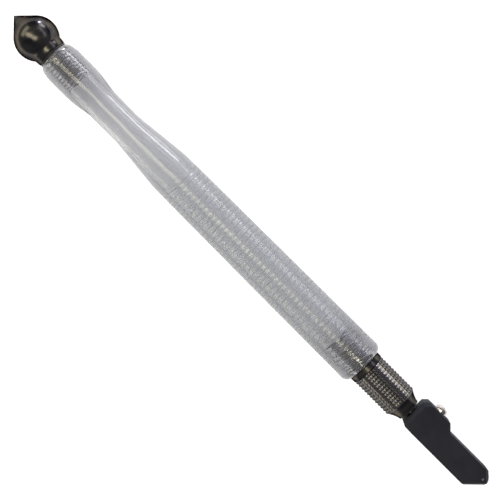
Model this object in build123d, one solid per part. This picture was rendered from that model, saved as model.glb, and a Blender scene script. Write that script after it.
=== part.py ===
from build123d import *

import math
import os

# Pencil-type oil-feed glass cutter, lying on its side. All sizes are in millimetres.
#
# Each piece is first built in the tool's own frame: the tool's axis is Z, a "station" is a distance
# along it from the ball's point (0) to the nose (OVERALL), and the clamp screw points along +Y.
# lay() then turns the piece into the row's frame: +X towards the nose, +Y on the screw's side and
# +Z up, out of the head's upper flat face, with the origin under the middle of the tool.

OVERALL = 174.6
EDGE_BREAK = 0.15

# End cap: a ball with a 90 degree point, a collar, and a threaded stud that closes the reservoir.
BALL_R = 6.05
BALL_STATION = BALL_R * math.sqrt(2)
COLLAR_REAR_R = 4.6
COLLAR_FRONT_R = 4.37
COLLAR_FACE = 14.5
CAP_SEAL_THICK = 0.74
CAP_SEAL_IN_R = 3.05
CAP_SEAL_OUT_R = 4.3
STUD_END = 23.6
STUD_RELIEF_R = 2.3

# Handle: one clear moulding, hollow from end to end.
HANDLE_REAR = COLLAR_FACE + CAP_SEAL_THICK
HANDLE_FRONT = 130.0
BEAD_R = 5.52
BEAD_START = 19.2
BEAD_END = 23.4
WAIST_R = 4.5
WAIST_START = 33.0
WAIST_END = 41.2
GRIP_REAR_R = 6.11
GRIP_MIDDLE_R = 6.36
GRIP_R = 6.5
GRIP_START = 59.5
GRIP_MIDDLE = 93.0
FRONT_ROUND = 1.9
NECK_BORE_R = 2.45
RESERVOIR_R = 3.05
RESERVOIR_START = 52.0
RESERVOIR_TAPER = 8.0
SEAL_POCKET_R = 4.1
SEAL_POCKET_DEPTH = 0.75

# Threads: pitch, crest radius of the male thread and number of turns of each pair. Every face of
# a female thread stands THREAD_CLEARANCE off its male thread.
CAP_PITCH = 1.0
CAP_THREAD_R = 2.9
CAP_THREAD_TURNS = 11
FERRULE_PITCH = 0.75
FERRULE_THREAD_R = 3.42
FERRULE_THREAD_TURNS = 14
THREAD_CLEARANCE = 0.07
THREAD_CREST = 0.08
ROOT_BITE = 0.05
FLANK_SLOPE = math.tan(math.radians(30))

# Ferrule: plain band, knurled sleeve, conical nose, and a threaded stub into the handle.
FERRULE_R = 4.9
BAND_END = 131.7
KNURL_END = 143.6
KNURL_RINGS = 12
KNURL_TEETH = 38
KNURL_DEPTH = 0.3
KNURL_OVERCUT = 0.05
FERRULE_NOSE = 146.65
FERRULE_NOSE_R = 3.3
STUB_REAR = 123.1
STUB_RELIEF_R = 2.95
POCKET_R = 2.35
STEM_BORE_R = 1.62

# Valve: plunger, its ring, its spring and the plug that holds the spring.
PLUG_REAR = 123.8
PLUG_FRONT = 126.0
PLUG_BORE_R = 1.25
PLUG_SLOT = 0.8
FLANGE_REAR = 135.6
FLANGE_FRONT = 136.8
FLANGE_R = 2.1
SPIGOT_R = 1.1
SPIGOT_REAR = 130.5
RING_WIRE_R = 0.5
RING_MEAN_R = 1.75
GROOVE_R = RING_MEAN_R - RING_WIRE_R
STEM_R = 1.57
STEM_FRONT = 155.5
OIL_BORE_R = 0.6
OIL_BORE_REAR = 137.9
CROSS_HOLE_R = 0.4
CROSS_HOLE = 138.7
SPRING_WIRE_R = 0.25
SPRING_MEAN_R = 1.75
SPRING_TURNS = 6
SEAT_GAP = 0.05

# Head: a flat block that clamps on the stem, with a V-shaped nose that holds the wheel.
HEAD_REAR = 147.5
HEAD_HALF_THICK = 3.5
BLADE_HALF_WIDE = 3.62
BLOCK_SIDE = 5.5
BLOCK_END = 156.2
BLOCK_STEP = BLOCK_SIDE - BLADE_HALF_WIDE
REAR_CHAMFER = 1.2
HEEL_CHAMFER = 0.6
REAR_BEVEL = 1.0
HEAD_EDGE = 0.12
STEM_HOLE_R = 1.65
STEM_HOLE_END = 155.8
FEED_HOLE_R = 0.7
SLOT_HALF_WIDE = 0.58
SLOT_BOTTOM = 169.4
CHEEK_BEVEL = 0.8
CHEEK_EDGE_HALF = 1.9

# Wheel: a hard disc with a V-shaped rim, set a little to one side so that it trails.
WHEEL_R = 2.0
WHEEL_STATION = OVERALL - WHEEL_R
WHEEL_SIDE = 1.05
WHEEL_HALF_THICK = 0.5
WHEEL_FLAT_R = 1.6
WHEEL_BORE_R = 0.54
AXLE_R = 0.5
AXLE_HALF = 3.2
FLANK_INSET = 1.65
WHEEL_PROUD = 0.45

# Clamp screw: M2 with a pan head.
SCREW_STATION = 152.7
SCREW_HEAD_R = 1.75
SCREW_HEAD_H = 1.55
SCREW_R = 0.98
SCREW_HOLE_R = 1.0
SCREW_TIP_R = 0.7
SCREW_TIP = 1.1
DRIVE_LENGTH = 2.0
DRIVE_WIDTH = 0.45
DRIVE_DEPTH = 0.65
NOTCH_FLOOR = 0.95
NOTCH_HALF = 0.85

NOSE_APEX = WHEEL_STATION + FLANK_INSET * math.sqrt(2)
AXIS_HEIGHT = GRIP_R
MARGIN = 1.0
LIE_DOWN = Location((-OVERALL / 2, 0, AXIS_HEIGHT), (0, 90, 0))


def lay(piece):
    """The piece in the row's frame."""
    return LIE_DOWN * piece


def turned(outline):
    """The solid that an outline of (radius, station) edges gives when it is turned about the axis."""
    return revolve(Plane.XZ * make_face(outline), axis=Axis.Z)


def turned_points(*points):
    """A turned solid with straight edges between (radius, station) points."""
    return turned(Polyline(*points, close=True))


def rod(radius, start, end):
    """A round bar on the axis from one station to another."""
    return Pos(0, 0, start) * Cylinder(
        radius, end - start, align=(Align.CENTER, Align.CENTER, Align.MIN)
    )


def slab(x, y, z):
    """A box between two limits on each axis."""
    low = (x[0], y[0], z[0])
    size = (x[1] - x[0], y[1] - y[0], z[1] - z[0])
    return Pos(*low) * Box(*size, align=(Align.MIN, Align.MIN, Align.MIN))


def side_rod(radius, start, end, station):
    """A round bar along +Y that crosses the axis at a station."""
    bar = Cylinder(radius, end - start, align=(Align.CENTER, Align.CENTER, Align.MIN))
    return Pos(0, start, station) * Rot(-90, 0, 0) * bar


def thread_depth(pitch):
    """Depth of thread that leaves a narrow land between the turns."""
    return 0.52 * pitch


def helical_ridge(crest_r, pitch, start, turns, extra):
    """One 60 degree thread ridge from a station on, made fatter by extra on each of its faces."""
    root_r = crest_r - thread_depth(pitch) - ROOT_BITE
    half_crest = THREAD_CREST * pitch
    half_root = half_crest + (crest_r - root_r) * FLANK_SLOPE
    extra_along = extra / math.cos(math.radians(30))
    widen = extra_along - extra * FLANK_SLOPE
    section = Polyline(
        (root_r, -half_root - extra_along),
        (crest_r + extra, -half_crest - widen),
        (crest_r + extra, half_crest + widen),
        (root_r, half_root + extra_along),
        close=True,
    )
    path = Helix(pitch=pitch, height=turns * pitch, radius=root_r)
    return Pos(0, 0, start) * sweep(Plane.XZ * make_face(section), path=path, is_frenet=True)


def male_thread(crest_r, pitch, start, end, anchor):
    """A threaded bar from start to end, with its thread in step with one that begins at anchor."""
    first = anchor + pitch * math.ceil((start - anchor) / pitch)
    turns = math.floor((end - first) / pitch)
    depth = thread_depth(pitch)
    core = rod(crest_r - depth, start, end)
    bar = core + helical_ridge(crest_r, pitch, first, turns, 0)
    envelope = turned_points(
        (0, start),
        (crest_r + MARGIN, start),
        (crest_r + MARGIN, end - depth - MARGIN),
        (crest_r - depth, end),
        (0, end),
    )
    return bar & envelope


def tap(crest_r, pitch, anchor, turns):
    """The solid that cuts a female thread for male_thread, with clearance all round."""
    minor_r = crest_r - thread_depth(pitch) + THREAD_CLEARANCE
    core = rod(minor_r, anchor, anchor + pitch * turns)
    return core + helical_ridge(crest_r, pitch, anchor, turns, THREAD_CLEARANCE)


def end_cap():
    """Ball with a point behind, a collar in front, and a threaded stud."""
    tangent = BALL_R / math.sqrt(2)
    collar_rear = BALL_STATION + math.sqrt(BALL_R**2 - COLLAR_REAR_R**2)
    outline = (
        Line((0, 0), (tangent, tangent))
        + ThreePointArc(
            (tangent, tangent), (BALL_R, BALL_STATION), (COLLAR_REAR_R, collar_rear)
        )
        + Polyline(
            (COLLAR_REAR_R, collar_rear),
            (COLLAR_FRONT_R, COLLAR_FACE - EDGE_BREAK),
            (COLLAR_FRONT_R - EDGE_BREAK, COLLAR_FACE),
            (0, COLLAR_FACE),
            (0, 0),
        )
    )
    anchor = HANDLE_REAR - CAP_PITCH
    neck = rod(STUD_RELIEF_R, COLLAR_FACE - MARGIN, HANDLE_REAR + MARGIN / 2)
    stud = male_thread(CAP_THREAD_R, CAP_PITCH, HANDLE_REAR + MARGIN / 2, STUD_END, anchor)
    return turned(outline) + neck + stud


def seal_ring(in_r, out_r, rear, front):
    """A ring squeezed between two flat faces, with a bulging outside."""
    round_r = (front - rear) / 2
    outline = (
        Line((in_r, rear), (out_r - round_r, rear))
        + ThreePointArc(
            (out_r - round_r, rear), (out_r, rear + round_r), (out_r - round_r, front)
        )
        + Polyline((out_r - round_r, front), (in_r, front), (in_r, rear))
    )
    return turned(outline)


def handle_outside():
    """Rear bead, waist, flare and long grip, as one turned solid."""
    front_flat_r = GRIP_R - FRONT_ROUND
    round_start = HANDLE_FRONT - FRONT_ROUND
    half_round = FRONT_ROUND * math.sqrt(0.5)
    waist_rear_r = WAIST_R + 0.06
    shoulder = (5.25, 16.9)
    bead_fall = (5.08, 29.1)
    flare_start = (4.7, 44.3)
    flare_end = (6.02, 57.2)
    flare = (flare_end[0] - flare_start[0], flare_end[1] - flare_start[1])
    outline = (
        Line((0, HANDLE_REAR), (COLLAR_FRONT_R, HANDLE_REAR))
        + Spline(
            (COLLAR_FRONT_R, HANDLE_REAR),
            shoulder,
            (BEAD_R, BEAD_START),
            tangents=((1, 0.15), (0, 1)),
        )
        + Line((BEAD_R, BEAD_START), (BEAD_R, BEAD_END))
        + Spline(
            (BEAD_R, BEAD_END),
            bead_fall,
            (waist_rear_r, WAIST_START),
            tangents=((0, 1), (-0.01, 1)),
        )
        + Line((waist_rear_r, WAIST_START), (WAIST_R, WAIST_END))
        + Spline((WAIST_R, WAIST_END), flare_start, tangents=((0, 1), flare))
        + Line(flare_start, flare_end)
        + Spline(flare_end, (GRIP_REAR_R, GRIP_START), tangents=(flare, (0.01, 1)))
        + ThreePointArc(
            (GRIP_REAR_R, GRIP_START), (GRIP_MIDDLE_R, GRIP_MIDDLE), (GRIP_R, round_start)
        )
        + ThreePointArc(
            (GRIP_R, round_start),
            (front_flat_r + half_round, round_start + half_round),
            (front_flat_r, HANDLE_FRONT),
        )
        + Polyline((front_flat_r, HANDLE_FRONT), (0, HANDLE_FRONT), (0, HANDLE_REAR))
    )
    return turned(outline)


def handle():
    """Clear handle with a reservoir bore, a female thread at each end and a seal pocket in front."""
    bore = turned_points(
        (0, HANDLE_REAR - MARGIN),
        (NECK_BORE_R, HANDLE_REAR - MARGIN),
        (NECK_BORE_R, RESERVOIR_START - RESERVOIR_TAPER),
        (RESERVOIR_R, RESERVOIR_START),
        (RESERVOIR_R, HANDLE_FRONT + MARGIN),
        (0, HANDLE_FRONT + MARGIN),
    )
    rear_tap = tap(CAP_THREAD_R, CAP_PITCH, HANDLE_REAR - CAP_PITCH, CAP_THREAD_TURNS)
    front_anchor = HANDLE_FRONT - FERRULE_PITCH * FERRULE_THREAD_TURNS
    front_tap = tap(
        FERRULE_THREAD_R, FERRULE_PITCH, front_anchor, FERRULE_THREAD_TURNS + 1
    )
    pocket = rod(SEAL_POCKET_R, HANDLE_FRONT - SEAL_POCKET_DEPTH, HANDLE_FRONT + MARGIN)
    return handle_outside() - bore - rear_tap - front_tap - pocket


def knurl_cutters():
    """V-shaped grooves along the sleeve, which with its ring grooves leave small pyramids."""
    half_wide = math.pi * FERRULE_R / KNURL_TEETH
    vee = Polyline(
        (FERRULE_R - KNURL_DEPTH, 0),
        (FERRULE_R + KNURL_OVERCUT, -half_wide),
        (FERRULE_R + KNURL_OVERCUT, half_wide),
        close=True,
    )
    cutter = Pos(0, 0, BAND_END) * extrude(make_face(vee), KNURL_END - BAND_END)
    return [Rot(0, 0, 360 * i / KNURL_TEETH) * cutter for i in range(KNURL_TEETH)]


def ferrule():
    """Sleeve with a plain band, a pyramid knurl and a hollowed conical nose, on a threaded stub."""
    knurl_root_r = FERRULE_R - KNURL_DEPTH
    ring_pitch = (KNURL_END - BAND_END) / KNURL_RINGS
    rings = []
    for i in range(KNURL_RINGS):
        start = BAND_END + i * ring_pitch
        rings += [(knurl_root_r, start), (FERRULE_R, start + ring_pitch / 2)]
    nose_middle = (3.85, 144.9)
    nose = Spline(
        (knurl_root_r, KNURL_END),
        nose_middle,
        (FERRULE_NOSE_R, FERRULE_NOSE),
        tangents=((-0.75, 1), (-0.1, 1)),
    )
    band = Polyline(
        (0, HANDLE_FRONT),
        (FERRULE_R - EDGE_BREAK, HANDLE_FRONT),
        (FERRULE_R, HANDLE_FRONT + EDGE_BREAK),
        (FERRULE_R, BAND_END - EDGE_BREAK),
        *rings,
        (knurl_root_r, KNURL_END),
    )
    back = Polyline((FERRULE_NOSE_R, FERRULE_NOSE), (0, FERRULE_NOSE), (0, HANDLE_FRONT))
    ring_station = FLANGE_FRONT + RING_WIRE_R
    seat = ring_station + (RING_WIRE_R + SEAT_GAP) * math.sqrt(2) - (POCKET_R - RING_MEAN_R)
    inside = turned_points(
        (0, STUB_REAR - MARGIN),
        (POCKET_R, STUB_REAR - MARGIN),
        (POCKET_R, seat),
        (STEM_BORE_R, seat + POCKET_R - STEM_BORE_R),
        (STEM_BORE_R, FERRULE_NOSE + MARGIN),
        (0, FERRULE_NOSE + MARGIN),
    )
    anchor = HANDLE_FRONT - FERRULE_PITCH * FERRULE_THREAD_TURNS
    stub = male_thread(FERRULE_THREAD_R, FERRULE_PITCH, STUB_REAR, HANDLE_FRONT - MARGIN, anchor)
    relief = rod(STUB_RELIEF_R, HANDLE_FRONT - MARGIN, HANDLE_FRONT)
    return turned(band + nose + back) + stub + relief - inside - knurl_cutters()


def front_seal():
    """Ring that seals the ferrule's shoulder against the handle."""
    return seal_ring(
        STUB_RELIEF_R + 0.1,
        SEAL_POCKET_R - 0.1,
        HANDLE_FRONT - SEAL_POCKET_DEPTH,
        HANDLE_FRONT,
    )


def spring_plug():
    """Slotted plug in the ferrule's rear end, with a hole that lets the oil through."""
    plug = rod(POCKET_R, PLUG_REAR, PLUG_FRONT) - rod(PLUG_BORE_R, PLUG_REAR, PLUG_FRONT)
    slot = slab(
        (-PLUG_SLOT / 2, PLUG_SLOT / 2),
        (-POCKET_R - MARGIN, POCKET_R + MARGIN),
        (PLUG_REAR - MARGIN, PLUG_REAR + PLUG_SLOT),
    )
    return plug - slot


def plunger_spring():
    """Round-wire spring from the plug to the plunger's flange."""
    start = PLUG_FRONT + SPRING_WIRE_R
    height = FLANGE_REAR - PLUG_FRONT - 2 * SPRING_WIRE_R
    path = Helix(pitch=height / SPRING_TURNS, height=height, radius=SPRING_MEAN_R)
    wire = Plane(origin=path @ 0, z_dir=path % 0) * Circle(SPRING_WIRE_R)
    return Pos(0, 0, start) * sweep(wire, path=path, is_frenet=True)


def plunger():
    """Hollow stem with a flange for the spring, a groove for the ring and a notch for the screw."""
    groove_front = FLANGE_FRONT + 2 * RING_WIRE_R + 0.05
    body = turned_points(
        (0, SPIGOT_REAR),
        (SPIGOT_R - 0.2, SPIGOT_REAR),
        (SPIGOT_R, SPIGOT_REAR + 0.2),
        (SPIGOT_R, FLANGE_REAR),
        (FLANGE_R, FLANGE_REAR),
        (FLANGE_R, FLANGE_FRONT),
        (GROOVE_R, FLANGE_FRONT),
        (GROOVE_R, groove_front),
        (STEM_R, groove_front),
        (STEM_R, STEM_FRONT - 0.3),
        (STEM_R - 0.3, STEM_FRONT),
        (0, STEM_FRONT),
    )
    oil_bore = rod(OIL_BORE_R, OIL_BORE_REAR, STEM_FRONT + MARGIN)
    cross_hole = Pos(0, 0, CROSS_HOLE) * Rot(0, 90, 0) * Cylinder(CROSS_HOLE_R, 4 * STEM_R)
    notch = slab(
        (-2 * STEM_R, 2 * STEM_R),
        (NOTCH_FLOOR, 2 * STEM_R),
        (SCREW_STATION - NOTCH_HALF, SCREW_STATION + NOTCH_HALF),
    )
    return body - oil_bore - cross_hole - notch


def valve_ring():
    """Ring that closes the ferrule's conical seat while the plunger is forward."""
    return Pos(0, 0, FLANGE_FRONT + RING_WIRE_R) * Torus(RING_MEAN_R, RING_WIRE_R)


def cheek_bevels(direction):
    """Two wedges that thin the cheek on one side (1 or -1) towards the flanks of the nose."""
    rise = HEAD_HALF_THICK - CHEEK_EDGE_HALF
    wedge = Polyline(
        (0, CHEEK_EDGE_HALF),
        (-CHEEK_BEVEL, HEAD_HALF_THICK),
        (-CHEEK_BEVEL, HEAD_HALF_THICK + rise),
        (CHEEK_BEVEL, HEAD_HALF_THICK + rise),
        (CHEEK_BEVEL, CHEEK_EDGE_HALF - rise),
        close=True,
    )
    cutters = []
    for turn in (45, -45):
        outward = Vector(0, -math.sin(math.radians(turn)), math.cos(math.radians(turn)))
        along = Vector(0, math.cos(math.radians(turn)), math.sin(math.radians(turn)))
        across = Plane(origin=(0, WHEEL_SIDE, NOSE_APEX), x_dir=outward, z_dir=along)
        face = make_face(wedge)
        if across.y_dir.X * direction < 0:
            face = mirror(face, about=Plane.XZ)
        cutters.append(extrude(across * face, amount=4 * BLADE_HALF_WIDE, both=True))
    return cutters


def head_body():
    """Flat head: a rear block with the stem's hole, a stepped side and a slotted V-shaped nose."""
    nose_flat = OVERALL - WHEEL_PROUD
    flat_half = NOSE_APEX - nose_flat
    outline = Polyline(
        (WHEEL_SIDE - flat_half, nose_flat),
        (-BLADE_HALF_WIDE, NOSE_APEX - WHEEL_SIDE - BLADE_HALF_WIDE),
        (-BLADE_HALF_WIDE, HEAD_REAR + 2 * HEEL_CHAMFER),
        (-BLADE_HALF_WIDE + HEEL_CHAMFER, HEAD_REAR),
        (BLOCK_SIDE - REAR_CHAMFER, HEAD_REAR),
        (BLOCK_SIDE, HEAD_REAR + REAR_CHAMFER),
        (BLOCK_SIDE, BLOCK_END),
        (BLADE_HALF_WIDE, BLOCK_END + BLOCK_STEP),
        (BLADE_HALF_WIDE, NOSE_APEX + WHEEL_SIDE - BLADE_HALF_WIDE),
        (WHEEL_SIDE + flat_half, nose_flat),
        close=True,
    )
    plate = Pos(-HEAD_HALF_THICK, 0, 0) * extrude(
        Plane.YZ * make_face(outline), 2 * HEAD_HALF_THICK
    )
    rims = plate.faces().sort_by(Axis.X)
    rim_edges = rims[0].edges() + rims[-1].edges()
    rear_edges = rim_edges.filter_by(lambda edge: edge.center().Z < HEAD_REAR + REAR_CHAMFER)
    plate = chamfer(rear_edges, REAR_BEVEL)
    rims = plate.faces().sort_by(Axis.X)
    plate = chamfer(rims[0].edges() + rims[-1].edges(), HEAD_EDGE)
    stem_hole = rod(STEM_HOLE_R, HEAD_REAR - MARGIN, STEM_HOLE_END)
    feed_hole = rod(FEED_HOLE_R, STEM_HOLE_END - MARGIN, SLOT_BOTTOM + MARGIN)
    slot = slab(
        (-SLOT_HALF_WIDE, SLOT_HALF_WIDE),
        (-2 * BLADE_HALF_WIDE, 2 * BLADE_HALF_WIDE),
        (SLOT_BOTTOM, OVERALL + MARGIN),
    )
    axle_hole = Pos(0, WHEEL_SIDE, WHEEL_STATION) * Rot(0, 90, 0) * Cylinder(
        AXLE_R, 4 * HEAD_HALF_THICK
    )
    screw_hole = side_rod(SCREW_HOLE_R, 0, BLOCK_SIDE + MARGIN, SCREW_STATION)
    plate = plate - cheek_bevels(1) - cheek_bevels(-1)
    return plate - stem_hole - feed_hole - slot - axle_hole - screw_hole


def clamp_screw():
    """Pan-head screw with a cross recess, whose flat tip stands just off the stem's notch."""
    rim = BLOCK_SIDE + 0.55
    top = BLOCK_SIDE + SCREW_HEAD_H
    outline = (
        Polyline(
            (0, SCREW_TIP),
            (SCREW_TIP_R, SCREW_TIP),
            (SCREW_TIP_R, SCREW_TIP + 0.6),
            (SCREW_R, SCREW_TIP + 0.9),
            (SCREW_R, BLOCK_SIDE),
            (SCREW_HEAD_R, BLOCK_SIDE),
            (SCREW_HEAD_R, rim),
        )
        + Spline(
            (SCREW_HEAD_R, rim),
            (SCREW_HEAD_R - 0.6, top - 0.12),
            (0, top),
            tangents=((0, 1), (-1, 0)),
        )
        + Line((0, top), (0, SCREW_TIP))
    )
    screw = turned(outline)
    for turn in (0, 90):
        arm = Box(DRIVE_LENGTH, DRIVE_WIDTH, 2 * DRIVE_DEPTH)
        screw = screw - Pos(0, 0, top) * Rot(0, 0, turn) * arm
    return Pos(0, 0, SCREW_STATION) * Rot(-90, 0, 0) * screw


def at_wheel(piece):
    """Stands a piece that was turned about Z on the wheel's axle, across the tool."""
    return Pos(0, WHEEL_SIDE, WHEEL_STATION) * Rot(0, 90, 0) * piece


def wheel_axle():
    """Pin pressed through both cheeks."""
    return at_wheel(
        turned_points(
            (0, -AXLE_HALF),
            (AXLE_R - 0.1, -AXLE_HALF),
            (AXLE_R, -AXLE_HALF + 0.1),
            (AXLE_R, AXLE_HALF - 0.1),
            (AXLE_R - 0.1, AXLE_HALF),
            (0, AXLE_HALF),
        )
    )


def cutting_wheel():
    """Disc with a V-shaped rim that turns on the axle."""
    disc = turned_points(
        (WHEEL_BORE_R, -WHEEL_HALF_THICK),
        (WHEEL_FLAT_R, -WHEEL_HALF_THICK),
        (WHEEL_R, 0),
        (WHEEL_FLAT_R, WHEEL_HALF_THICK),
        (WHEEL_BORE_R, WHEEL_HALF_THICK),
    )
    return at_wheel(disc)


PIECES = {
    "end_cap": end_cap,
    "cap_o_ring": lambda: seal_ring(CAP_SEAL_IN_R, CAP_SEAL_OUT_R, COLLAR_FACE, HANDLE_REAR),
    "handle": handle,
    "front_o_ring": front_seal,
    "ferrule": ferrule,
    "spring_plug": spring_plug,
    "plunger_spring": plunger_spring,
    "plunger": plunger,
    "valve_o_ring": valve_ring,
    "head_body": head_body,
    "clamp_screw": clamp_screw,
    "wheel_axle": wheel_axle,
    "cutting_wheel": cutting_wheel,
}

os.makedirs("parts", exist_ok=True)
for node, make in PIECES.items():
    export_step(lay(make()), f"parts/{node}.step")
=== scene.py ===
import math

import bpy
import numpy as np
from mathutils import Matrix, Vector


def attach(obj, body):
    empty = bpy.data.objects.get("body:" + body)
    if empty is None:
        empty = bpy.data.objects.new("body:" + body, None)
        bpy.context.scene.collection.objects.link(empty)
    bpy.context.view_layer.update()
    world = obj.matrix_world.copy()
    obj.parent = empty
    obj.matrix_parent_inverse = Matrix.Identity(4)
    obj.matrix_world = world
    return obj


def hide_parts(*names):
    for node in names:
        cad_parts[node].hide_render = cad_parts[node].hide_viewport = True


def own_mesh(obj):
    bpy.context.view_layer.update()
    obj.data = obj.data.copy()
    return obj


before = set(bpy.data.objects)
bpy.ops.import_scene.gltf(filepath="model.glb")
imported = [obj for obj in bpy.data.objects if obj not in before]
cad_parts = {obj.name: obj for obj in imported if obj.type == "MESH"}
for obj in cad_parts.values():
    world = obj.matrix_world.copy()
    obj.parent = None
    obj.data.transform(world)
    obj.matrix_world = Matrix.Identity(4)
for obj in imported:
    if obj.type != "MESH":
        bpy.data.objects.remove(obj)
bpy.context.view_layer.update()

# Sizes are in millimetres along the tool: a station is the distance from the ball's point, and a
# radius is measured from the tool's axis. place() turns them into the row's metres.
HALF_LENGTH = 87.3
AXIS_HEIGHT = 6.5
BALL_R = 6.05
COLLAR_R = 4.6
COLLAR_FACE = 14.5
STUD_NECK_R = 2.3
HANDLE_REAR = 15.24
HANDLE_FRONT = 130.0
CAP_PITCH = 1.0
CAP_THREAD_R = 2.9
STUD_END = 23.6
FERRULE_PITCH = 0.75
FERRULE_THREAD_R = 3.42
STUB_REAR = 123.1
THREAD_GAP = 0.07
THREAD_SHARE = 0.52
SEAL_POCKET_R = 4.1
SEAL_POCKET_DEPTH = 0.75
RESERVOIR_R = 3.05
NECK_BORE_R = 2.45
FERRULE_R = 4.9
BAND_END = 131.7
KNURL_END = 143.6
KNURL_RINGS = 12
KNURL_TEETH = 38
KNURL_DEPTH = 0.3
NOSE_END = 146.65
VALVE_BORE_R = 2.35
STEM_BORE_R = 1.62
GRIP_START = 59.5
GRIP_END = 126.4
GRIP_PITCH = 1.5
GRIP_COLUMNS = 26
GRIP_DEPTH = 0.1
GROOVE_PHASE = 2 * math.pi * (HALF_LENGTH - GRIP_START) / GRIP_PITCH
SPRING_REAR = 126.0
SPRING_FRONT = 135.35
SPRING_WIRE_R = 0.25
SPRING_MEAN_R = 1.75
SPRING_TURNS = 7.5


# ---------------------------------------------------------------- meshes


def place(station, y, z):
    return (station - HALF_LENGTH) / 1000, y / 1000, (AXIS_HEIGHT + z) / 1000


MIDDLE = Vector(place(HALF_LENGTH, 0, 0))


def new_piece(name, points, faces, body, material, sharp=35):
    mesh = bpy.data.meshes.new(name)
    mesh.from_pydata([tuple(p) for p in points], [], [tuple(f) for f in faces])
    mesh.validate()
    mesh.polygons.foreach_set("use_smooth", [True] * len(mesh.polygons))
    mesh.set_sharp_from_angle(angle=math.radians(sharp))
    mesh.materials.append(material)
    mesh.update()
    piece = bpy.data.objects.new(name, mesh)
    bpy.context.scene.collection.objects.link(piece)
    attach(piece, body)
    return piece


def turned(profile, segments, relief=None, loop=False):
    """Points and faces of a surface turned about the tool's axis. The profile is (station, radius)
    pairs with the solid on its left; relief(station, angle, row) adds to the radius."""
    profile = np.array(profile, float)
    angles = np.arange(segments) * 2 * math.pi / segments
    radius = profile[:, 1:2] * np.ones((1, segments))
    if relief is not None:
        radius = radius + relief(profile[:, 0:1], angles[None, :], profile[:, 1:2])
    y, z = radius * np.sin(angles), radius * np.cos(angles)
    points, rows = [], []
    for i, (station, r) in enumerate(profile):
        if r < 1e-9:
            rows.append([len(points)] * segments)
            points.append(place(station, 0, 0))
        else:
            rows.append(list(range(len(points), len(points) + segments)))
            points += [place(station, y[i, j], z[i, j]) for j in range(segments)]
    pairs = list(zip(rows, rows[1:] + rows[:1])) if loop else list(zip(rows, rows[1:]))
    faces = []
    for low, high in pairs:
        for j in range(segments):
            k = (j + 1) % segments
            corners = [low[j], high[j], high[k], low[k]]
            face = [c for c, d in zip(corners, corners[1:] + corners[:1]) if c != d]
            if len(face) > 2:
                faces.append(face)
    return points, faces


def arc(centre, radius, start, end, count):
    """Points of a circle in the (station, radius) plane, by angle from the station axis."""
    turn = np.radians(np.linspace(start, end, count))
    return [(centre[0] + radius * math.cos(a), centre[1] + radius * math.sin(a)) for a in turn]


def curve(points, start_slope, end_slope, count):
    """A smooth curve through (station, radius) points, by cubic pieces with given end slopes."""
    xs, ys = np.array(points, float).T
    n = len(xs)
    h = np.diff(xs)
    a = np.zeros((n, n))
    b = np.zeros(n)
    a[0, 0] = a[-1, -1] = 1
    b[0], b[-1] = start_slope, end_slope
    for i in range(1, n - 1):
        a[i, i - 1], a[i, i], a[i, i + 1] = h[i], 2 * (h[i - 1] + h[i]), h[i - 1]
        b[i] = 3 * (
            h[i] * (ys[i] - ys[i - 1]) / h[i - 1] + h[i - 1] * (ys[i + 1] - ys[i]) / h[i]
        )
    m = np.linalg.solve(a, b)
    out = []
    for i in range(n - 1):
        for t in np.linspace(0, 1, count, endpoint=i == n - 2):
            value = (
                (2 * t**3 - 3 * t**2 + 1) * ys[i]
                + (t**3 - 2 * t**2 + t) * h[i] * m[i]
                + (-2 * t**3 + 3 * t**2) * ys[i + 1]
                + (t**3 - t**2) * h[i] * m[i + 1]
            )
            out.append((xs[i] + t * h[i], value))
    return out


def steps(start, end, size):
    """Evenly spaced values from start to end, no further apart than size."""
    return np.linspace(start, end, max(2, math.ceil(abs(end - start) / size) + 1))


def wave(phase):
    """A triangle wave: 0 at whole numbers and 1 halfway between them."""
    return 1 - np.abs(2 * (phase - np.floor(phase)) - 1)


def thread_depth(pitch):
    return THREAD_SHARE * pitch


def thread(pitch, anchor):
    """Relief of a helical thread with its first crest at the anchor station."""
    depth = thread_depth(pitch)

    def relief(station, angle, radius):
        phase = (station - anchor) / pitch - angle / (2 * math.pi) + 0.5
        return depth * np.clip(1.25 * wave(phase) - 0.12, 0, 1)

    return relief


# ---------------------------------------------------------------- materials


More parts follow.
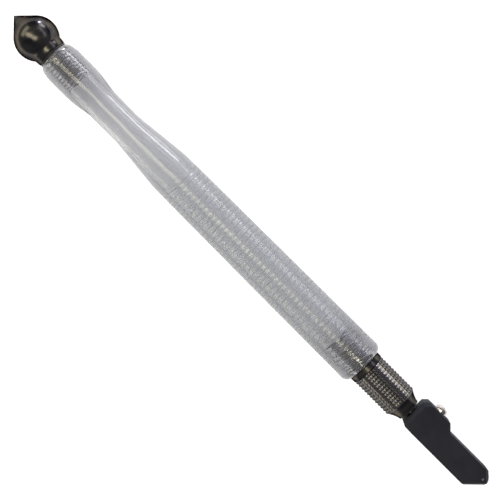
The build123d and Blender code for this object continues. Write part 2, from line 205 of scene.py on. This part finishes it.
class Graph:
    """A material's nodes, with short ways to add and join them."""

    def __init__(self, name):
        self.material = bpy.data.materials.new(name)
        self.material.use_nodes = True
        self.tree = self.material.node_tree
        self.shader = self.tree.nodes["Principled BSDF"]
        self.coords = self.tree.nodes.new("ShaderNodeTexCoord").outputs["Object"]

    def add(self, kind, links=(), **settings):
        node = self.tree.nodes.new(kind)
        for key, value in settings.items():
            setattr(node, key, value)
        for socket, source in dict(links).items():
            if isinstance(source, bpy.types.NodeSocket):
                self.tree.links.new(source, node.inputs[socket])
            else:
                node.inputs[socket].default_value = source
        return node

    def noise(self, scale, detail=4.0, stretch=(1, 1, 1)):
        moved = self.add(
            "ShaderNodeMapping", {"Vector": self.coords, "Scale": stretch}
        ).outputs["Vector"]
        return self.add(
            "ShaderNodeTexNoise", {"Vector": moved, "Scale": scale, "Detail": detail}
        ).outputs["Fac"]

    def remap(self, value, low, high, out_low, out_high):
        return self.add(
            "ShaderNodeMapRange",
            {"Value": value, "From Min": low, "From Max": high, "To Min": out_low, "To Max": out_high},
        ).outputs["Result"]

    def mix(self, factor, first, second):
        node = self.add("ShaderNodeMix", data_type="RGBA")
        for index, source in ((0, factor), (6, first), (7, second)):
            if isinstance(source, bpy.types.NodeSocket):
                self.tree.links.new(source, node.inputs[index])
            else:
                node.inputs[index].default_value = source
        return node.outputs[2]

    def math(self, operation, *values):
        return self.add(
            "ShaderNodeMath", dict(enumerate(values)), operation=operation
        ).outputs["Value"]

    def bump(self, height, distance, strength=1.0):
        normal = self.add(
            "ShaderNodeBump", {"Height": height, "Distance": distance, "Strength": strength}
        ).outputs["Normal"]
        self.tree.links.new(normal, self.shader.inputs["Normal"])

    def set(self, **values):
        for name, value in values.items():
            socket = self.shader.inputs[name.replace("_", " ")]
            if isinstance(value, bpy.types.NodeSocket):
                self.tree.links.new(value, socket)
            else:
                socket.default_value = value


def clear_acrylic():
    """Moulded clear plastic: grooves in the grip are frosted and carry painted shade, and painted
    shade makes the threaded ends greyer.
    """
    g = Graph("clear_acrylic")
    cloud = g.noise(160, 4.0, (0.4, 1, 1))
    along = g.add("ShaderNodeSeparateXYZ", {"Vector": g.coords}).outputs["X"]
    turns = g.math("MULTIPLY_ADD", along, 2000 * math.pi / GRIP_PITCH, GROOVE_PHASE)
    grip = g.math(
        "MULTIPLY",
        g.remap(along, place(59, 0, 0)[0], place(62, 0, 0)[0], 0, 1),
        g.remap(along, place(GRIP_END, 0, 0)[0], place(127, 0, 0)[0], 1, 0),
    )
    # Painted shade: the grip grooves get a darker colour on top of their rougher, frosted surface.
    groove = g.math("MULTIPLY", grip, g.remap(g.math("COSINE", turns), -0.6, 0.9, 0, 1))
    # Painted shade: the plastic turns greyer towards both threaded ends, where dark metal lies inside.
    end_shade = g.math(
        "ADD",
        g.remap(along, place(22, 0, 0)[0], place(58, 0, 0)[0], 1, 0),
        g.remap(along, place(112, 0, 0)[0], place(121, 0, 0)[0], 0, 1),
    )
    clear = g.mix(cloud, (0.9, 0.91, 0.94, 1), (0.97, 0.975, 0.98, 1))
    groove_shaded = g.mix(groove, clear, (0.885, 0.895, 0.91, 1))
    g.set(
        Base_Color=g.mix(end_shade, groove_shaded, (0.79, 0.79, 0.81, 1)),
        Roughness=g.math("MULTIPLY_ADD", groove, 0.26, g.remap(cloud, 0.3, 0.7, 0.02, 0.06)),
        IOR=1.49,
        Transmission_Weight=0.86,
    )
    g.bump(g.noise(900, 3.0, (0.5, 1, 1)), 0.000005, 0.5)
    tint = g.add("ShaderNodeVolumeAbsorption", {"Color": (0.0, 0.02, 0.08, 1), "Density": 108.0})
    g.tree.links.new(tint.outputs["Volume"], g.tree.nodes["Material Output"].inputs["Volume"])
    return g.material


def black_nickel():
    g = Graph("black_nickel")
    smudge = g.noise(330, 5.0, (1, 0.45, 1))
    g.set(
        Base_Color=g.mix(
            g.remap(smudge, 0.38, 0.66, 0, 1), (0.05, 0.049, 0.053, 1), (0.125, 0.115, 0.095, 1)
        ),
        Metallic=1.0,
        Specular_Tint=(0.2, 0.195, 0.21, 1),
        Roughness=g.remap(smudge, 0.3, 0.7, 0.13, 0.3),
    )
    return g.material


def worn_nickel():
    g = Graph("worn_nickel")
    g.set(
        Base_Color=g.mix(g.noise(900), (0.12, 0.114, 0.108, 1), (0.27, 0.256, 0.24, 1)),
        Metallic=1.0,
        Specular_Tint=(0.4, 0.39, 0.41, 1),
        Roughness=0.22,
    )
    return g.material


def black_oxide():
    g = Graph("black_oxide")
    grain = g.noise(1800, 3.0)
    cloud = g.noise(150, 5.0)
    g.set(
        Base_Color=g.mix(cloud, (0.019, 0.02, 0.028, 1), (0.05, 0.052, 0.066, 1)),
        Specular_IOR_Level=0.06,
        Roughness=g.remap(grain, 0.3, 0.7, 0.55, 0.75),
    )
    g.bump(grain, 0.00003, 0.5)
    return g.material


def bright_nickel():
    g = Graph("bright_nickel")
    g.set(
        Base_Color=(0.5, 0.48, 0.46, 1),
        Metallic=1.0,
        Roughness=g.remap(g.noise(900), 0.3, 0.7, 0.14, 0.26),
    )
    return g.material


def brass():
    g = Graph("brass")
    g.set(
        Base_Color=g.mix(g.noise(300), (0.62, 0.44, 0.2, 1), (0.74, 0.57, 0.3, 1)),
        Metallic=1.0,
        Roughness=g.remap(g.noise(1200, 2.0, (0.1, 1, 1)), 0.3, 0.7, 0.22, 0.38),
    )
    return g.material


def carbide():
    g = Graph("carbide")
    g.set(
        Base_Color=(0.2, 0.2, 0.22, 1),
        Metallic=1.0,
        Roughness=g.remap(g.noise(1500), 0.3, 0.7, 0.2, 0.35),
    )
    return g.material


def spring_steel():
    g = Graph("spring_steel")
    g.set(
        Base_Color=(0.6, 0.6, 0.61, 1),
        Metallic=1.0,
        Roughness=g.remap(g.noise(1500), 0.3, 0.7, 0.2, 0.35),
    )
    return g.material


def nitrile_rubber():
    g = Graph("nitrile_rubber")
    g.set(
        Base_Color=(0.012, 0.012, 0.014, 1),
        Roughness=g.remap(g.noise(1400), 0.3, 0.7, 0.35, 0.55),
        Specular_IOR_Level=0.5,
    )
    g.bump(g.noise(2600), 0.00002, 0.4)
    return g.material


MATERIALS = {
    make.__name__: make()
    for make in (
        clear_acrylic,
        black_nickel,
        worn_nickel,
        black_oxide,
        bright_nickel,
        brass,
        carbide,
        spring_steel,
        nitrile_rubber,
    )
}


# ---------------------------------------------------------------- end cap


def end_cap():
    centre = BALL_R * math.sqrt(2)
    meet = math.degrees(math.asin(COLLAR_R / BALL_R))
    profile = [(0, 0), (0.25, 0.25)]
    profile += [(s, s) for s in np.linspace(0.9, BALL_R / math.sqrt(2), 8)[:-1]]
    profile += arc((centre, 0), BALL_R, 135, meet, 60)
    collar_start = centre + math.sqrt(BALL_R**2 - COLLAR_R**2)
    profile += [(collar_start + 0.1, 4.53), (13.1, 4.5), (13.7, 4.48), (14.05, 4.42)]
    thread_start = HANDLE_REAR + 0.5
    profile += [(COLLAR_FACE, 4.24), (COLLAR_FACE, STUD_NECK_R), (thread_start, STUD_NECK_R)]
    root = CAP_THREAD_R - thread_depth(CAP_PITCH)
    profile += [(s, root) for s in steps(thread_start, STUD_END - 0.5, CAP_PITCH / 8)]
    profile += [(STUD_END, root - 0.3), (STUD_END, 0)]
    cut = thread(CAP_PITCH, HANDLE_REAR - CAP_PITCH)

    def relief(station, angle, radius):
        inside = (station > thread_start) & (station < STUD_END - 0.4)
        return np.where(inside & (radius == root), cut(station, angle, radius), 0)

    points, faces = turned(profile, 144, relief)
    piece = new_piece("end_cap_visual", points, faces, "cap", MATERIALS["black_nickel"])
    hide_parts("end_cap")


# ---------------------------------------------------------------- handle


def handle():
    outer = [(HANDLE_REAR, 4.37)]
    outer += curve([(HANDLE_REAR + 0.02, 4.5), (16.9, 5.25), (19.2, 5.52)], 0.95, 0.0, 9)
    outer += [(s, 5.52) for s in (20.6, 22.0)]
    outer += curve([(23.4, 5.52), (29.1, 5.08), (33.0, 4.56)], 0.0, -0.01, 12)
    outer += [(36.0, 4.54), (38.6, 4.515)]
    outer += curve([(41.2, 4.5), (44.3, 4.7)], 0.0, 0.102, 8)
    outer += [(48.6, 5.14), (52.9, 5.58)]
    outer += curve([(57.2, 6.02), (59.5, 6.11)], 0.102, 0.01, 6)
    grip = steps(GRIP_START + 0.25, GRIP_END, GRIP_PITCH / 6)
    radii = np.interp(grip, [59.5, 76, 93, 111, 128.8], [6.11, 6.25, 6.36, 6.445, 6.5])
    outer += list(zip(grip, radii))
    outer += [(127.0, 6.497), (127.6, 6.499)]
    round_r = 1.9
    outer += arc((HANDLE_FRONT - round_r, 4.6), round_r, 90, 0, 12)
    pocket_floor = HANDLE_FRONT - SEAL_POCKET_DEPTH
    inner = [(HANDLE_FRONT, SEAL_POCKET_R), (pocket_floor, SEAL_POCKET_R)]
    front_root = FERRULE_THREAD_R - thread_depth(FERRULE_PITCH) + THREAD_GAP
    rear_root = CAP_THREAD_R - thread_depth(CAP_PITCH) + THREAD_GAP
    inner += [(s, front_root) for s in steps(pocket_floor, 119.8, FERRULE_PITCH / 6)]
    inner += [(s, RESERVOIR_R) for s in (119.6, 110, 95, 80, 65, 52)]
    inner += [(48, (RESERVOIR_R + NECK_BORE_R) / 2)]
    inner += [(s, NECK_BORE_R) for s in (44, 36, 28)]
    inner += [(s, rear_root) for s in steps(25.2, HANDLE_REAR, CAP_PITCH / 8)]
    front_cut = thread(FERRULE_PITCH, HANDLE_FRONT)
    rear_cut = thread(CAP_PITCH, HANDLE_REAR - CAP_PITCH)

    def relief(station, angle, radius):
        ring = wave((station - GRIP_START) / GRIP_PITCH)
        column = wave(angle * GRIP_COLUMNS / (2 * math.pi))
        fade = np.clip((station - 59.0) / 2.0, 0, 1) * np.clip(126.6 - station, 0, 1)
        groove = np.clip(1.15 * (1 - ring), 0, 1) + 0.35 * np.clip(3 * (1 - column) - 2, 0, 1)
        cut = -GRIP_DEPTH * fade * np.clip(groove, 0, 1)
        out = np.where((radius > 6.0) & (station < 127), cut, 0.0)
        out = out + np.where(np.abs(radius - front_root) < 1e-6, front_cut(station, angle, radius), 0)
        return out + np.where(np.abs(radius - rear_root) < 1e-6, rear_cut(station, angle, radius), 0)

    points, faces = turned(outer + inner, 156, relief, loop=True)
    piece = new_piece("handle_visual", points, faces, "barrel", MATERIALS["clear_acrylic"], 50)
    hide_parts("handle")


# ---------------------------------------------------------------- ferrule


def ferrule():
    cell = [0, 0.5]  # a groove and a crest, as shares of a tooth or a ring
    angles = np.array([j + u for j in range(KNURL_TEETH) for u in cell]) * 2 * math.pi / KNURL_TEETH
    root = FERRULE_R - KNURL_DEPTH
    pitch = (KNURL_END - BAND_END) / KNURL_RINGS
    stub_root = FERRULE_THREAD_R - thread_depth(FERRULE_PITCH)
    thread_end = HANDLE_FRONT - 1.0
    profile = [(STUB_REAR, VALVE_BORE_R), (STUB_REAR, stub_root - 0.1)]
    profile += [(s, stub_root) for s in steps(STUB_REAR + 0.15, thread_end, FERRULE_PITCH / 6)]
    profile += [(thread_end, 2.95), (HANDLE_FRONT, 2.95)]
    profile += [(HANDLE_FRONT, FERRULE_R - 0.15), (HANDLE_FRONT + 0.15, FERRULE_R)]
    profile += [(s, FERRULE_R) for s in (130.6, 131.1, BAND_END - 0.2)]
    profile += [(BAND_END - 0.02, FERRULE_R - 0.2)]
    first_ring = len(profile)
    for i in range(KNURL_RINGS):
        profile += [(BAND_END + (i + u) * pitch, root + KNURL_DEPTH * (u > 0)) for u in cell]
    after_rings = len(profile)
    profile += curve([(KNURL_END, root), (144.9, 3.85), (NOSE_END, 3.3)], -0.7, -0.1, 10)
    profile += [(NOSE_END, STEM_BORE_R), (140.6, STEM_BORE_R)]
    profile += [(s, VALVE_BORE_R) for s in (139.9, 136.0, 130.0, 126.0)]
    cut = thread(FERRULE_PITCH, HANDLE_FRONT)
    profile = np.array(profile)
    radius = profile[:, 1:2] * np.ones((1, len(angles)))
    across = np.array([root + KNURL_DEPTH * (u > 0) for _ in range(KNURL_TEETH) for u in cell])
    rings = slice(first_ring, after_rings)
    radius[rings] = np.minimum(radius[rings], across[None, :])
    on_stub = (np.abs(profile[:, 1] - stub_root) < 1e-6)[:, None]
    radius = radius + np.where(on_stub, cut(profile[:, 0:1], angles[None, :], radius), 0)
    points = [
        place(profile[i, 0], radius[i, j] * math.sin(a), radius[i, j] * math.cos(a))
        for i in range(len(profile))
        for j, a in enumerate(angles)
    ]
    n, m = len(angles), len(profile)
    faces, worn = [], []
    for i in range(m):
        k = (i + 1) % m
        for j in range(n):
            q = (j + 1) % n
            corner = [i * n + j, k * n + j, k * n + q, i * n + q]
            straight = radius[i, j] + radius[k, q]
            crossed = radius[i, q] + radius[k, j]
            if abs(straight - crossed) < 1e-9:
                faces.append(corner)
                continue
            if first_ring <= i < after_rings:
                worn += [len(faces), len(faces) + 1]
            if straight < crossed:
                faces += [[corner[0], corner[1], corner[3]], [corner[1], corner[2], corner[3]]]
            else:
                faces += [[corner[0], corner[1], corner[2]], [corner[0], corner[2], corner[3]]]
    piece = new_piece("ferrule_visual", points, faces, "barrel", MATERIALS["black_nickel"], 20)
    piece.data.materials.append(MATERIALS["worn_nickel"])
    for face in worn:
        piece.data.polygons[face].material_index = 1
    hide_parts("ferrule")


# ---------------------------------------------------------------- plunger spring


def plunger_spring():
    """Round wire with closed end coils, drawn at one fixed length; the real spring shortens as the
    plunger is pressed back.
    """
    count, around = 270, 12
    height = SPRING_FRONT - SPRING_REAR - 2 * SPRING_WIRE_R
    turn = np.linspace(0, SPRING_TURNS, count + 1)
    dead, rise = 0.75, 0.4
    station = SPRING_REAR + SPRING_WIRE_R + np.interp(
        turn, [0, dead, SPRING_TURNS - dead, SPRING_TURNS], [0, rise, height - rise, height]
    )
    angle = 2 * math.pi * turn
    outward = np.stack([0 * angle, np.sin(angle), np.cos(angle)], 1)
    centre = SPRING_MEAN_R * outward + np.stack([station, 0 * angle, 0 * angle], 1)
    along = np.gradient(centre, axis=0)
    side = np.cross(along / np.linalg.norm(along, axis=1, keepdims=True), outward)
    section = np.arange(around) * 2 * math.pi / around
    points = [
        place(*(centre[i] + SPRING_WIRE_R * (math.cos(a) * outward[i] + math.sin(a) * side[i])))
        for i in range(count + 1)
        for a in section
    ]
    faces = [list(range(around)), list(range(count * around, (count + 1) * around))[::-1]]
    for i in range(count):
        low, high = i * around, (i + 1) * around
        for j in range(around):
            k = (j + 1) % around
            faces.append([low + j, high + j, high + k, low + k])
    piece = new_piece("plunger_spring_visual", points, faces, "barrel", MATERIALS["spring_steel"])
    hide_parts("plunger_spring")
    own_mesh(piece)


end_cap()
handle()
ferrule()
plunger_spring()

for node, material in (
    ("cap_o_ring", "nitrile_rubber"),
    ("front_o_ring", "nitrile_rubber"),
    ("valve_o_ring", "nitrile_rubber"),
    ("head_body", "black_oxide"),
    ("clamp_screw", "bright_nickel"),
    ("spring_plug", "brass"),
    ("plunger", "black_nickel"),
    ("wheel_axle", "carbide"),
    ("cutting_wheel", "carbide"),
):
    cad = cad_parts[node]
    cad.data.materials.clear()
    cad.data.materials.append(MATERIALS[material])


# ---------------------------------------------------------------- stage


def pale_floor():
    """A pale floor that glows a little, so that it shows nearly white with no hard shadow."""
    g = Graph("pale_floor")
    tone = (0.9, 0.9, 0.9, 1)
    g.set(Base_Color=tone, Roughness=0.8, Emission_Color=tone, Emission_Strength=0.95)
    half = 1.5
    corners = [(-half, -half, 0), (half, -half, 0), (half, half, 0), (-half, half, 0)]
    mesh = bpy.data.meshes.new("floor")
    mesh.from_pydata(corners, [], [(0, 1, 2, 3)])
    mesh.materials.append(g.material)
    floor = bpy.data.objects.new("floor", mesh)
    floor.location = (0, 0, -0.00002)
    bpy.context.scene.collection.objects.link(floor)


def panel(name, direction, distance, size, power, color):
    """A soft rectangular light that faces the tool's middle."""
    data = bpy.data.lights.new(name, "AREA")
    data.shape = "RECTANGLE"
    data.size, data.size_y = size
    data.energy = power
    data.color = color
    light = bpy.data.objects.new(name, data)
    towards = Vector(direction).normalized()
    light.location = MIDDLE + towards * distance
    light.rotation_mode = "QUATERNION"
    light.rotation_quaternion = towards.to_track_quat("Z", "Y")
    bpy.context.scene.collection.objects.link(light)


pale_floor()
panel("window", (-0.65, 0.75, 0.05), 0.6, (0.06, 0.07), 0.8, (0.84, 0.82, 1.0))
panel("side_strip", (-0.38, 0.89, 0.24), 0.6, (0.22, 0.1), 0.45, (0.92, 0.92, 1.0))
panel("side_glow", (0.0, 0.8, 0.6), 0.7, (0.7, 0.12), 0.5, (0.72, 0.7, 1.0))
panel("end_wall", (-0.86, -0.16, 0.46), 0.8, (0.6, 0.26), 1.3, (1.0, 0.93, 0.68))
panel("ceiling", (-0.3, -0.1, 0.94), 0.86, (0.26, 1.0), 3.2, (1.0, 0.94, 0.72))

world = bpy.data.worlds.new("studio")
bpy.context.scene.world = world
world.use_nodes = True
world.node_tree.nodes["Background"].inputs["Color"].default_value = (0.86, 0.86, 1.0, 1)
world.node_tree.nodes["Background"].inputs["Strength"].default_value = 0.2

# The camera looks down on the tool, leaning 4.5 degrees towards +Y, and is rolled so that the tool
# lies along the picture's diagonal.
LEAN = math.radians(4.5)
LOOK = Vector((0, math.sin(LEAN), math.cos(LEAN)))
SIDE = Vector((0, math.cos(LEAN), -math.sin(LEAN)))
ALONG = Vector((1, 0, 0))

camera_data = bpy.data.cameras.new("camera")
camera_data.sensor_width = 36
camera_data.lens = 89.3
camera_data.clip_start = 0.01
camera_data.clip_end = 10
camera = bpy.data.objects.new("camera", camera_data)
target = MIDDLE + ALONG * 0.00019 + SIDE * 0.00028
camera.location = target + LOOK * 0.326
right = (ALONG * 0.70765 + SIDE * 0.70656).normalized()
up = LOOK.cross(right).normalized()
camera.matrix_world = Matrix(
    (
        (right.x, up.x, LOOK.x, camera.location.x),
        (right.y, up.y, LOOK.y, camera.location.y),
        (right.z, up.z, LOOK.z, camera.location.z),
        (0, 0, 0, 1),
    )
)
bpy.context.scene.collection.objects.link(camera)
bpy.context.scene.camera = camera
bpy.context.scene.view_settings.view_transform = "Standard"
bpy.context.scene.view_settings.look = "None"
bpy.context.scene.view_settings.exposure = 0.0
